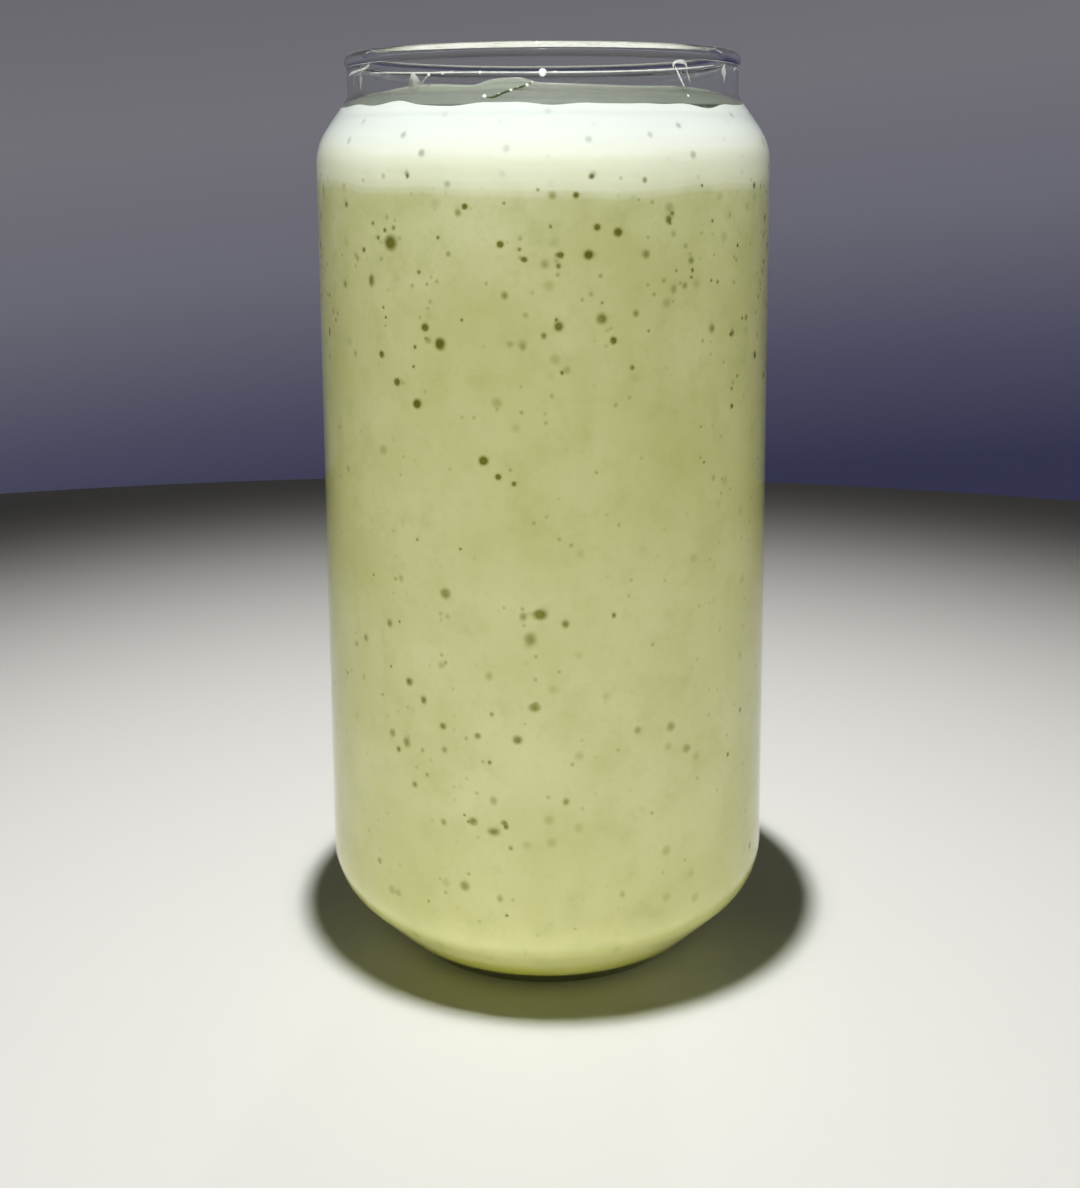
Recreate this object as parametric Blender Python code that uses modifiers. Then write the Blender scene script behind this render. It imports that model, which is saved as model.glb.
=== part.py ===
"""A tall glass shaped like a drinks can, filled with green smoothie under a layer of pale froth.

Metres, +Z up. The origin is at the middle of the standing ring, on the surface that the glass stands on.
"""
import math

import bpy
from mathutils import Vector

# Outside of the glass
HEIGHT = 0.152
BODY_RADIUS = 0.038
NECK_RADIUS = 0.0326
NECK_FOOT_HEIGHT = 0.145
SHOULDER_HEIGHT = 0.1371
SHOULDER_ROUND = 0.0105
HEEL_HEIGHT = 0.0121
HEEL_ROUND = 0.0095
FOOT_RADIUS = 0.0259
FOOT_ROUND = 0.002

# Lip, wall and bottom
LIP_ROUND = 0.0013
LIP_MIDDLE_RADIUS = 0.0317
NECK_HOLLOW = 0.0025
WALL = 0.0021
FLOOR_HEIGHT = 0.0036
FLOOR_EDGE_RADIUS = 0.0263
FLOOR_EDGE_ROUND = 0.005
WALL_FOOT_HEIGHT = 0.0132
WALL_FOOT_ROUND = 0.0075
RECESS_RADIUS = 0.020
RECESS_DEPTH = 0.001

# Contents
FROTH_TOP = 0.1427
FROTH_BOTTOM = 0.1315
GAP = 0.0003

# Fineness
TURN_STEPS = 64
STEP_DEGREES = 9.0
LIP_STEP_DEGREES = 22.5
MERGE_DISTANCE = 0.00001

COLLECTION = "smoothie_in_can_glass"

GLASS_COLOUR = (0.93, 0.96, 0.94, 1.0)
SMOOTHIE_COLOUR = (0.47, 0.48, 0.19, 1.0)
FROTH_COLOUR = (0.85, 0.88, 0.78, 1.0)


def clear_scene():
    for thing in list(bpy.data.objects):
        bpy.data.objects.remove(thing, do_unlink=True)


def rounded(corners):
    """Outline through (radius, height, rounding) corners, with an arc in place of each rounded one."""
    points = []
    for index, (radius, height, rounding) in enumerate(corners):
        here = Vector((radius, height))
        if rounding == 0 or index in (0, len(corners) - 1):
            points.append(here)
            continue
        back = (Vector(corners[index - 1][:2]) - here).normalized()
        ahead = (Vector(corners[index + 1][:2]) - here).normalized()
        half_angle = back.angle(ahead) / 2
        centre = here + (back + ahead).normalized() * (rounding / math.sin(half_angle))
        start = here + back * (rounding / math.tan(half_angle)) - centre
        turn = math.pi - 2 * half_angle
        side = 1 if back.x * ahead.y - back.y * ahead.x < 0 else -1
        steps = max(2, round(math.degrees(turn) / STEP_DEGREES))
        for step in range(steps + 1):
            angle = side * turn * step / steps
            across = start.x * math.cos(angle) - start.y * math.sin(angle)
            up = start.x * math.sin(angle) + start.y * math.cos(angle)
            points.append(centre + Vector((across, up)))
    return points


def moved_in(corners, distance):
    """The same outline with each edge moved sideways, towards the axis on a wall that runs upwards."""
    lines = []
    for (r0, z0, _), (r1, z1, _) in zip(corners, corners[1:]):
        along = Vector((r1 - r0, z1 - z0)).normalized()
        lines.append((Vector((r0, z0)) + Vector((-along.y, along.x)) * distance, along))
    first_point, _ = lines[0]
    moved = [(corners[0][0], first_point.y, 0)]
    for (point, along), (next_point, next_along), corner in zip(lines, lines[1:], corners[1:]):
        cross = along.x * next_along.y - along.y * next_along.x
        gap = next_point - point
        meeting = point + along * ((gap.x * next_along.y - gap.y * next_along.x) / cross)
        rounding = corner[2] - math.copysign(distance, cross)
        moved.append((meeting.x, meeting.y, rounding))
    last_point, _ = lines[-1]
    moved.append((last_point.x, corners[-1][1], 0))
    return moved


def lip_arc():
    """The rounded bead of the lip, from its inner side over the top to its outer side."""
    middle = Vector((LIP_MIDDLE_RADIUS, HEIGHT - LIP_ROUND))
    inner_reach = (NECK_RADIUS - WALL) - middle.x
    outer_reach = NECK_RADIUS - middle.x
    start = math.pi + math.acos(-inner_reach / LIP_ROUND)
    end = -math.acos(outer_reach / LIP_ROUND)
    steps = round(math.degrees(start - end) / LIP_STEP_DEGREES)
    points = []
    for step in range(steps + 1):
        angle = start + (end - start) * step / steps
        points.append(middle + Vector((math.cos(angle), math.sin(angle))) * LIP_ROUND)
    return points


def cavity_corners():
    """Inside of the glass from the middle of its floor up to the lip, at one wall from the outside."""
    lean = math.atan2(BODY_RADIUS - NECK_RADIUS, NECK_FOOT_HEIGHT - SHOULDER_HEIGHT)
    drop = WALL * math.tan(lean / 2)
    return [
        (0.0, FLOOR_HEIGHT, 0),
        (FLOOR_EDGE_RADIUS, FLOOR_HEIGHT, FLOOR_EDGE_ROUND),
        (BODY_RADIUS - WALL, WALL_FOOT_HEIGHT, WALL_FOOT_ROUND),
        (BODY_RADIUS - WALL, SHOULDER_HEIGHT - drop, SHOULDER_ROUND - WALL),
        (NECK_RADIUS - WALL, NECK_FOOT_HEIGHT - drop, NECK_HOLLOW + WALL),
        (NECK_RADIUS - WALL, HEIGHT - 2 * LIP_ROUND, 0),
    ]


def outside_corners():
    """Outside of the glass from under the lip down to the middle of the recess under its bottom."""
    return [
        (NECK_RADIUS, HEIGHT - 2 * LIP_ROUND, 0),
        (NECK_RADIUS, NECK_FOOT_HEIGHT, NECK_HOLLOW),
        (BODY_RADIUS, SHOULDER_HEIGHT, SHOULDER_ROUND),
        (BODY_RADIUS, HEEL_HEIGHT, HEEL_ROUND),
        (FOOT_RADIUS, 0.0, FOOT_ROUND),
        (RECESS_RADIUS, 0.0, 0),
        (RECESS_RADIUS - RECESS_DEPTH, RECESS_DEPTH, 0),
        (0.0, RECESS_DEPTH, 0),
    ]


def radius_at(points, height):
    """Radius of a rising outline at one height."""
    for low, high in zip(points, points[1:]):
        if low.y <= height <= high.y and high.y > low.y:
            share = (height - low.y) / (high.y - low.y)
            return low.x + (high.x - low.x) * share
    raise ValueError(f"the outline does not reach the height {height}")


def contents_outline(top, bottom=None):
    """Outline of a filling: axis, top, down the wall, then its bottom or the floor, back to the axis."""
    wall = rounded(moved_in(cavity_corners(), GAP))
    lowest = wall[0].y if bottom is None else bottom
    outline = [Vector((0.0, top)), Vector((radius_at(wall, top), top))]
    outline += [point for point in reversed(wall) if lowest <= point.y < top]
    if bottom is not None:
        outline += [Vector((radius_at(wall, bottom), bottom)), Vector((0.0, bottom))]
    return outline


def turned(name, outline, material, collection):
    """A solid of revolution: the outline as a wire at +X, turned about Z by a Screw modifier."""
    mesh = bpy.data.meshes.new(name)
    verts = [(point.x, 0.0, point.y) for point in outline]
    edges = [(index, index + 1) for index in range(len(verts) - 1)]
    mesh.from_pydata(verts, edges, [])
    mesh.materials.append(material)
    solid = bpy.data.objects.new(name, mesh)
    collection.objects.link(solid)
    screw = solid.modifiers.new("Turn", "SCREW")
    screw.axis = "Z"
    screw.angle = math.tau
    screw.steps = TURN_STEPS
    screw.render_steps = TURN_STEPS
    screw.use_merge_vertices = True
    screw.merge_threshold = MERGE_DISTANCE
    screw.use_smooth_shade = True
    return solid


def plain_material(name, colour, roughness, transmission=0.0):
    material = bpy.data.materials.new(name)
    material.use_nodes = True
    shader = material.node_tree.nodes["Principled BSDF"]
    shader.inputs["Base Color"].default_value = colour
    shader.inputs["Roughness"].default_value = roughness
    shader.inputs["Metallic"].default_value = 0.0
    shader.inputs["Transmission Weight"].default_value = transmission
    material.diffuse_color = colour
    return material


def build_glass(collection):
    """The can-shaped glass: thin wall, narrow neck with a beaded lip, chamfered heel and thick bottom."""
    material = plain_material("glass", GLASS_COLOUR, 0.02, transmission=1.0)
    inside = rounded(cavity_corners())[:-1]
    outside = rounded(outside_corners())[1:]
    return turned("glass", inside + lip_arc() + outside, material, collection)


def build_smoothie(collection):
    """The drink, a solid that fills the glass from its floor up to the froth."""
    material = plain_material("smoothie", SMOOTHIE_COLOUR, 0.35)
    return turned("smoothie", contents_outline(FROTH_BOTTOM - GAP), material, collection)


def build_froth(collection):
    """The froth, a layer right across the glass that narrows with the shoulder."""
    material = plain_material("froth", FROTH_COLOUR, 0.6)
    return turned("froth", contents_outline(FROTH_TOP, FROTH_BOTTOM), material, collection)


def main():
    clear_scene()
    collection = bpy.data.collections.new(COLLECTION)
    bpy.context.scene.collection.children.link(collection)
    build_glass(collection)
    build_smoothie(collection)
    build_froth(collection)


main()
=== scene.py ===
import math
import random

import bmesh
import bpy
from mathutils import Matrix, Vector, noise


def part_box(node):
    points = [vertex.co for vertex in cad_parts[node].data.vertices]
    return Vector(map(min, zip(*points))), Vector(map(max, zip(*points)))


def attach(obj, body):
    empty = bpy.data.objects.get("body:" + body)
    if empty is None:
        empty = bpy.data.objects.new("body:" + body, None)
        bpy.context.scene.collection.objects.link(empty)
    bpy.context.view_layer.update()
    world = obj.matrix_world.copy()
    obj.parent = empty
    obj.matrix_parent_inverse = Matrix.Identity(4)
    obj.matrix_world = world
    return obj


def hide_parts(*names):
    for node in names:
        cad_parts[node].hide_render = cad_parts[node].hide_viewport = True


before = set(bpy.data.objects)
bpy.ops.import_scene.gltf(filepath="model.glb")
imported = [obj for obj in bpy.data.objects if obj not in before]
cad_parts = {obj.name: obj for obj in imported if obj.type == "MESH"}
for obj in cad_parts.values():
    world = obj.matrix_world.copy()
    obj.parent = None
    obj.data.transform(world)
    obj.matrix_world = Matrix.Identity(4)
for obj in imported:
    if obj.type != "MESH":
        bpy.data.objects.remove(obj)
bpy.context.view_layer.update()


# Point of view
# The photograph is taken from just below the rim, close by, with the lens turned a little down.
# The frame is a part of a taller picture, so the lens is shifted and not at the middle.
PHOTO_WIDTH = 1080
PHOTO_HEIGHT = 1188
FOCAL_PIXELS = 1503.0
LENS_MIDDLE_X = 544.5
LENS_MIDDLE_Y = 382.4
EYE_DISTANCE = 0.2569
EYE_HEIGHT = 0.1353
EYE_TILT = math.radians(8.57)
EYE_ROLL = math.radians(0.35)
FILM_WIDTH = 36.0
NEAREST_SEEN = 0.01

camera_data = bpy.data.cameras.new("camera")
camera_data.sensor_fit = "HORIZONTAL"
camera_data.sensor_width = FILM_WIDTH
camera_data.lens = FILM_WIDTH * FOCAL_PIXELS / PHOTO_WIDTH
camera_data.shift_x = (PHOTO_WIDTH / 2 - LENS_MIDDLE_X) / PHOTO_WIDTH
camera_data.shift_y = (LENS_MIDDLE_Y - PHOTO_HEIGHT / 2) / PHOTO_WIDTH
camera_data.clip_start = NEAREST_SEEN
camera = bpy.data.objects.new("camera", camera_data)
bpy.context.scene.collection.objects.link(camera)
camera.matrix_world = (
    Matrix.Translation((0, -EYE_DISTANCE, EYE_HEIGHT))
    @ Matrix.Rotation(math.pi / 2 - EYE_TILT, 4, "X")
    @ Matrix.Rotation(-EYE_ROLL, 4, "Z")
)
bpy.context.scene.camera = camera


# Glass
# One piece of blown soda glass shaped like a drinks can: a beaded, fire-polished lip, a short straight
# neck, a sloping shoulder, a straight body, a chamfered heel and a thick bottom on a flat standing ring.
_, GLASS_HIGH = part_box("glass")
BODY_RADIUS = GLASS_HIGH.x
HEIGHT = GLASS_HIGH.z
NECK_RADIUS = 0.0326
NECK_FOOT_HEIGHT = 0.145
NECK_HOLLOW = 0.0025
SHOULDER_HEIGHT = 0.1371
SHOULDER_ROUND = 0.0105
HEEL_HEIGHT = 0.0121
HEEL_ROUND = 0.0095
FOOT_RADIUS = 0.0259
FOOT_ROUND = 0.002
LIP_ROUND = 0.0013
LIP_MIDDLE_RADIUS = 0.0317
WALL = 0.0021
FLOOR_HEIGHT = 0.0036
FLOOR_EDGE_RADIUS = 0.0263
FLOOR_EDGE_ROUND = 0.005
WALL_FOOT_HEIGHT = 0.0132
WALL_FOOT_ROUND = 0.0075
RECESS_RADIUS = 0.020
RECESS_DEPTH = 0.001
RECESS_ROUND = 0.0005
GLASS_TURN_STEPS = 192
ARC_STEP_DEGREES = 4.0
LIP_STEP_DEGREES = 12.0
CORNER_HOLD = 0.00003
LIP_JOINT_HOLD = 0.00015
GLASS_TINT = (0.97, 0.985, 0.975, 1.0)
LAMP_TINT = (0.93, 0.95, 0.94, 1.0)
GLASS_IOR = 1.5
SMEAR_PATTERN = (60.0, 4.0)
SMEAR_FROM = 0.55
SMEAR_FULL = 0.8
SMEAR_ROUGHNESS = 0.05
BLOWN_WAVE_PATTERN = (35.0, 1.0)
BLOWN_WAVE_STRENGTH = 0.02
BLOWN_WAVE_HEIGHT = 0.001


def rounded(corners):
    """Outline through (radius, height, rounding) corners, with an arc in place of each rounded one."""
    points = []
    for index, (radius, height, rounding) in enumerate(corners):
        here = Vector((radius, height))
        if rounding == 0 or index in (0, len(corners) - 1):
            points.append(here)
            continue
        back = (Vector(corners[index - 1][:2]) - here).normalized()
        ahead = (Vector(corners[index + 1][:2]) - here).normalized()
        half_angle = back.angle(ahead) / 2
        centre = here + (back + ahead).normalized() * (rounding / math.sin(half_angle))
        start = here + back * (rounding / math.tan(half_angle)) - centre
        turn = math.pi - 2 * half_angle
        side = 1 if back.x * ahead.y - back.y * ahead.x < 0 else -1
        steps = max(2, round(math.degrees(turn) / ARC_STEP_DEGREES))
        for step in range(steps + 1):
            angle = side * turn * step / steps
            across = start.x * math.cos(angle) - start.y * math.sin(angle)
            up = start.x * math.sin(angle) + start.y * math.cos(angle)
            points.append(centre + Vector((across, up)))
    return points


def lip_arc():
    """The bead of the lip, from its inner side over the top to its outer side."""
    middle = Vector((LIP_MIDDLE_RADIUS, HEIGHT - LIP_ROUND))
    start = math.pi + math.acos((middle.x - NECK_RADIUS + WALL) / LIP_ROUND)
    end = -math.acos((NECK_RADIUS - middle.x) / LIP_ROUND)
    steps = round(math.degrees(start - end) / LIP_STEP_DEGREES)
    points = []
    for step in range(steps + 1):
        angle = start + (end - start) * step / steps
        points.append(middle + Vector((math.cos(angle), math.sin(angle))) * LIP_ROUND)
    return points


def wall_inside():
    """Inside of the glass from the middle of its floor up to the lip."""
    lean = math.atan2(BODY_RADIUS - NECK_RADIUS, NECK_FOOT_HEIGHT - SHOULDER_HEIGHT)
    drop = WALL * math.tan(lean / 2)
    return rounded([
        (0.0, FLOOR_HEIGHT, 0),
        (FLOOR_EDGE_RADIUS, FLOOR_HEIGHT, FLOOR_EDGE_ROUND),
        (BODY_RADIUS - WALL, WALL_FOOT_HEIGHT, WALL_FOOT_ROUND),
        (BODY_RADIUS - WALL, SHOULDER_HEIGHT - drop, SHOULDER_ROUND - WALL),
        (NECK_RADIUS - WALL, NECK_FOOT_HEIGHT - drop, NECK_HOLLOW + WALL),
        (NECK_RADIUS - WALL, HEIGHT - 2 * LIP_ROUND, 0),
    ])[:-1]


def wall_outside():
    """Outside of the glass from under the lip down to the middle of the recess under its bottom."""
    return rounded([
        (NECK_RADIUS, HEIGHT - 2 * LIP_ROUND, 0),
        (NECK_RADIUS, NECK_FOOT_HEIGHT, NECK_HOLLOW),
        (BODY_RADIUS, SHOULDER_HEIGHT, SHOULDER_ROUND),
        (BODY_RADIUS, HEEL_HEIGHT, HEEL_ROUND),
        (FOOT_RADIUS, 0.0, FOOT_ROUND),
        (RECESS_RADIUS, 0.0, RECESS_ROUND),
        (RECESS_RADIUS - RECESS_DEPTH, RECESS_DEPTH, RECESS_ROUND),
        (0.0, RECESS_DEPTH, 0),
    ])[1:]


def smooth_mesh(name, verts, faces):
    """A smooth-shaded mesh from its corners and faces."""
    mesh = bpy.data.meshes.new(name)
    mesh.from_pydata(verts, [], faces)
    mesh.polygons.foreach_set("use_smooth", [True] * len(mesh.polygons))
    mesh.update()
    return mesh


def turned_mesh(name, outline, steps):
    """A closed mesh turned about Z from an outline that starts and ends on the axis, top or floor first."""
    verts = [(0.0, 0.0, outline[0].y)]
    rings = outline[1:-1]
    for point in rings:
        for step in range(steps):
            angle = math.tau * step / steps
            verts.append((point.x * math.cos(angle), point.x * math.sin(angle), point.y))
    verts.append((0.0, 0.0, outline[-1].y))
    last = len(verts) - 1
    faces = []
    for step in range(steps):
        after = (step + 1) % steps
        faces.append((0, 1 + step, 1 + after))
        for ring in range(len(rings) - 1):
            upper = 1 + ring * steps
            lower = upper + steps
            faces.append((upper + step, lower + step, lower + after, upper + after))
        bottom = 1 + (len(rings) - 1) * steps
        faces.append((bottom + after, bottom + step, last))
    return smooth_mesh(name, verts, faces)


def held(before, corner, after, hold=CORNER_HOLD):
    """A corner of an outline with a point close by on either side, so that smooth shading stays near it."""
    back = (before - corner).normalized() * hold
    ahead = (after - corner).normalized() * hold
    return [corner + back, corner, corner + ahead]


def add_piece(name, mesh, material):
    """Puts a finished mesh in the scene under its piece name, with one material."""
    mesh.name = name
    mesh.materials.clear()
    mesh.materials.append(material)
    piece = bpy.data.objects.new(name, mesh)
    bpy.context.scene.collection.objects.link(piece)
    return piece


def new_material(name):
    """An empty node material; returns it with its tree."""
    material = bpy.data.materials.new(name)
    material.use_nodes = True
    material.node_tree.nodes.clear()
    return material, material.node_tree


def add_node(tree, kind, values=None, **settings):
    """A new node with its settings; each value is put in an input, or linked to it where it is a socket."""
    node = tree.nodes.new(kind)
    for name, setting in settings.items():
        setattr(node, name, setting)
    for name, value in (values or {}).items():
        if isinstance(value, bpy.types.NodeSocket):
            tree.links.new(value, node.inputs[name])
        else:
            node.inputs[name].default_value = value
    return node


def worked_out(tree, operation, first, second):
    """The result of a Math node on two values, each a plain number or a socket."""
    return add_node(tree, "ShaderNodeMath", {0: first, 1: second}, operation=operation).outputs[0]


def ranged(tree, value, low, high, least=0.0, most=1.0, kind="LINEAR"):
    """A value that goes from least to most while the given one goes from low to high."""
    values = {"Value": value, "From Min": low, "From Max": high, "To Min": least, "To Max": most}
    return add_node(tree, "ShaderNodeMapRange", values, interpolation_type=kind).outputs["Result"]


def object_place(tree):
    """Where a point of the piece is."""
    return tree.nodes.new("ShaderNodeTexCoord").outputs["Object"]


def noise_pattern(tree, scale, detail, roughness=0.5):
    """A cloudy pattern all through the piece."""
    values = {"Vector": object_place(tree), "Scale": scale, "Detail": detail, "Roughness": roughness}
    return add_node(tree, "ShaderNodeTexNoise", values).outputs["Fac"]


def bumps(tree, height, strength, distance):
    """A surface direction that is bent by a pattern of heights."""
    values = {"Height": height, "Strength": strength, "Distance": distance}
    return add_node(tree, "ShaderNodeBump", values).outputs["Normal"]


def let_lamps_through(tree, shader, tint):
    """Rays from lamps pass straight through a clear shader, so that what stands behind it is lit."""
    path = tree.nodes.new("ShaderNodeLightPath").outputs
    either = worked_out(tree, "MAXIMUM", path["Is Shadow Ray"], path["Is Diffuse Ray"])
    clear = add_node(tree, "ShaderNodeBsdfTransparent", {"Color": tint})
    mix = add_node(tree, "ShaderNodeMixShader", {"Fac": either, 1: shader.outputs[0], 2: clear.outputs[0]})
    add_node(tree, "ShaderNodeOutputMaterial", {"Surface": mix.outputs[0]})


def glass_material():
    """Clear soda glass with the faint unevenness of a blown wall and a few dull smears on it."""
    material, tree = new_material("clear_glass")
    smears = noise_pattern(tree, *SMEAR_PATTERN)
    waves = noise_pattern(tree, *BLOWN_WAVE_PATTERN)
    shader = add_node(tree, "ShaderNodeBsdfPrincipled", {
        "Base Color": GLASS_TINT,
        "Metallic": 0.0,
        "Transmission Weight": 1.0,
        "IOR": GLASS_IOR,
        "Roughness": ranged(tree, smears, SMEAR_FROM, SMEAR_FULL, 0.0, SMEAR_ROUGHNESS),
        "Normal": bumps(tree, waves, BLOWN_WAVE_STRENGTH, BLOWN_WAVE_HEIGHT),
    })
    let_lamps_through(tree, shader, LAMP_TINT)
    return material


inside = wall_inside()
lip = lip_arc()
outside = wall_outside()
glass_outline = (
    inside
    + held(inside[-1], lip[0], lip[1], LIP_JOINT_HOLD)
    + lip[1:-1]
    + held(lip[-2], lip[-1], outside[0], LIP_JOINT_HOLD)
    + outside
)
glass = add_piece("can_glass", turned_mesh("can_glass", glass_outline, GLASS_TURN_STEPS), glass_material())
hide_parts("glass")
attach(glass, "root")


# Smoothie
# A thick, opaque drink of blended green leaves and fruit, poured in to just under the neck.
# It wets the glass all round, so its side reaches a hair into the wall and no air shows between them.
FROTH_LOW, FROTH_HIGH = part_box("froth")
FROTH_SEAM = FROTH_LOW.z
FROTH_LEVEL = FROTH_HIGH.z
REACH_INTO_WALL = 0.00012
DRINK_TURN_STEPS = 160
FADE_LOW = 0.1275
FADE_HIGH = 0.1383
FADE_WANDER = 0.0030
FADE_BILLOWS = (70.0, 4.0)
NOISE_MIDDLE = 0.5
FADE_SIDE_RISE = 1.1
# Shares of the way from the low to the high end of the fade, and the share of froth there.
FADE_CURVE = [(0.12, 0.04), (0.21, 0.27), (0.29, 0.50), (0.42, 0.65), (0.62, 0.82), (0.78, 0.97)]
DRINK_COLOUR = (0.540, 0.528, 0.290, 1.0)
DRINK_DEEP_COLOUR = (0.43, 0.43, 0.185, 1.0)
DRINK_BLOTCH_COLOUR = (0.41, 0.42, 0.19, 1.0)
# Painted light by height, as colours that take over from one height to another: a painted glow in the upper
# part under the froth, the lower part's colour set to the light there, and painted shade at the foot.
PAINTED_LIGHT_BY_HEIGHT = [
    (0.110, 0.128, (0.590, 0.586, 0.345, 1.0)),
    (0.040, 0.010, (0.535, 0.525, 0.258, 1.0)),
    (0.0078, 0.0045, (0.40, 0.39, 0.085, 1.0)),
]
# Noise scale and detail, where the pattern starts and where it is full, how strong it gets, and its colour.
DRINK_MOTTLES = [
    (55.0, 3.0, 0.35, 0.75, 0.65, DRINK_DEEP_COLOUR),
    (900.0, 2.0, 0.50, 0.85, 0.35, DRINK_DEEP_COLOUR),
    (210.0, 4.0, 0.50, 0.78, 0.55, DRINK_BLOTCH_COLOUR),
]
MOTTLE_ROUGHNESS = 0.6
DRINK_SPOTS = {"Spacing": 230.0, "Share": 0.42, "Strength": 0.5}
DRINK_SPECKS = {"Spacing": 560.0, "Share": 0.20, "Strength": 0.6}
FROTH_SPOTS = {"Spacing": 330.0, "Share": 0.50, "Strength": 1.0}
SPOT_EDGE = 0.28
SPOT_MIDDLE = 0.05
DRINK_ROUGHNESS = 0.55
SOFT_LIGHT_SPREAD = 0.5
GLOSS_UNDER_GLASS = 0.05
FROTH_COLOUR = (0.90, 0.92, 0.76, 1.0)
# The froth is painted darker towards its top, where the shoulder faces the lamp above: painted shade.
FROTH_TOP_PAINTED_SHADE = (0.69, 0.715, 0.675, 1.0)
FROTH_TOP_FROM = 0.1335
FROTH_TOP_UP_TO = 0.1395
SPOT_COLOUR = (0.22, 0.23, 0.07, 1.0)
FROTH_SPOT_COLOUR = (0.30, 0.33, 0.26, 1.0)


def pushed_out(points, distance):
    """An outline moved outwards by a small distance, square to itself at each point."""
    moved = []
    for index, point in enumerate(points):
        before = points[max(0, index - 1)]
        after = points[min(len(points) - 1, index + 1)]
        along = (after - before).normalized()
        across = Vector((along.y, -along.x))
        moved.append(point + across * distance)
        if point.x == 0:
            moved[-1].x = 0.0
    return moved


def radius_at(points, height):
    """Radius of a rising outline at one height."""
    for low, high in zip(points, points[1:]):
        if low.y <= height <= high.y and high.y > low.y:
            share = (height - low.y) / (high.y - low.y)
            return low.x + (high.x - low.x) * share
    raise ValueError(f"the outline does not reach the height {height}")


def side_down(points, top, bottom=None):
    """A rising outline from the height of the top down to that of the bottom, or to its own start."""
    lowest = points[0].y - 1 if bottom is None else bottom
    side = [Vector((radius_at(points, top), top))]
    side += [point for point in reversed(points) if lowest < point.y < top]
    if bottom is not None:
        side.append(Vector((radius_at(points, bottom), bottom)))
    return side


def new_group(name, kind, inputs, outputs):
    """An empty node group with its sockets, by name and kind; returns it with what it is given."""
    group = bpy.data.node_groups.new(name, kind)
    for direction, sockets in (("INPUT", inputs), ("OUTPUT", outputs)):
        for socket_name, socket_kind in sockets.items():
            group.interface.new_socket(socket_name, in_out=direction, socket_type="NodeSocket" + socket_kind)
    return group, group.nodes.new("NodeGroupInput").outputs


def froth_fade_group():
    """Shared pattern: how much froth there is, 0 in the drink and 1 in the froth, on a wandering edge."""
    inputs = {"Low": "Float", "High": "Float", "Wander": "Float"}
    group, given = new_group("froth_fade", "ShaderNodeTree", inputs, {"Froth": "Float"})
    place = add_node(group, "ShaderNodeSeparateXYZ", {"Vector": object_place(group)}).outputs
    billow = worked_out(group, "SUBTRACT", noise_pattern(group, *FADE_BILLOWS), NOISE_MIDDLE)
    wander = worked_out(group, "MULTIPLY", billow, given["Wander"])
    height = worked_out(group, "ADD", place["Z"], wander)
    across = worked_out(group, "MULTIPLY", place["X"], place["X"])
    rise = worked_out(group, "MULTIPLY", across, FADE_SIDE_RISE)
    lowered = worked_out(group, "SUBTRACT", height, rise)
    share = ranged(group, lowered, given["Low"], given["High"])
    curve = add_node(group, "ShaderNodeValToRGB", {"Fac": share})
    curve.color_ramp.interpolation = "EASE"
    for position, froth in FADE_CURVE:
        curve.color_ramp.elements.new(position).color = (froth, froth, froth, 1.0)
    add_node(group, "NodeGroupOutput", {"Froth": curve.outputs["Color"]})
    return group


def sunk_spots_group():
    """Shared pattern: faint blurred spots where bubbles float a little way behind the wall."""
    inputs = {"Spacing": "Float", "Share": "Float", "Strength": "Float"}
    group, given = new_group("sunk_spots", "ShaderNodeTree", inputs, {"Spots": "Float"})
    spacing = {"Vector": object_place(group), "Scale": given["Spacing"]}
    cells = add_node(group, "ShaderNodeTexVoronoi", spacing).outputs
    spot = ranged(group, cells["Distance"], SPOT_EDGE, SPOT_MIDDLE, kind="SMOOTHSTEP")
    draw = add_node(group, "ShaderNodeSeparateColor", {"Color": cells["Color"]}).outputs
    chosen = worked_out(group, "LESS_THAN", draw["Red"], given["Share"])
    strength = worked_out(group, "MULTIPLY", chosen, draw["Green"])
    seen = worked_out(group, "MULTIPLY", strength, spot)
    weighed = worked_out(group, "MULTIPLY", seen, given["Strength"])
    add_node(group, "NodeGroupOutput", {"Spots": weighed})
    return group


froth_fade = froth_fade_group()
sunk_spots = sunk_spots_group()


def placed_group(tree, group, **values):
    """The result of a shared pattern in a material, with its own values."""
    return add_node(tree, "ShaderNodeGroup", values, node_tree=group).outputs[0]


def mixed_colour(tree, factor, first, second):
    """A colour between two others, by a varying factor; each is a plain colour or a socket."""
    mix = add_node(tree, "ShaderNodeMix", {"Factor": factor}, data_type="RGBA")
    for name, colour in (("A", first), ("B", second)):
        socket = next(s for s in mix.inputs if s.name == name and s.type == "RGBA")
        if isinstance(colour, tuple):
            socket.default_value = colour
        else:
            tree.links.new(colour, socket)
    return next(s for s in mix.outputs if s.type == "RGBA")


def height_share(tree, low, high):
    """How far up a point is between two heights, 0 to 1, with a smooth start and end."""
    place = add_node(tree, "ShaderNodeSeparateXYZ", {"Vector": object_place(tree)}).outputs
    return ranged(tree, place["Z"], low, high, kind="SMOOTHSTEP")


def mottle_share(tree, scale, detail, low, high, most):
    """A blotchy factor from 0 to most, where a noise pattern rises from low to high."""
    return ranged(tree, noise_pattern(tree, scale, detail, MOTTLE_ROUGHNESS), low, high, 0.0, most)


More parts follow.
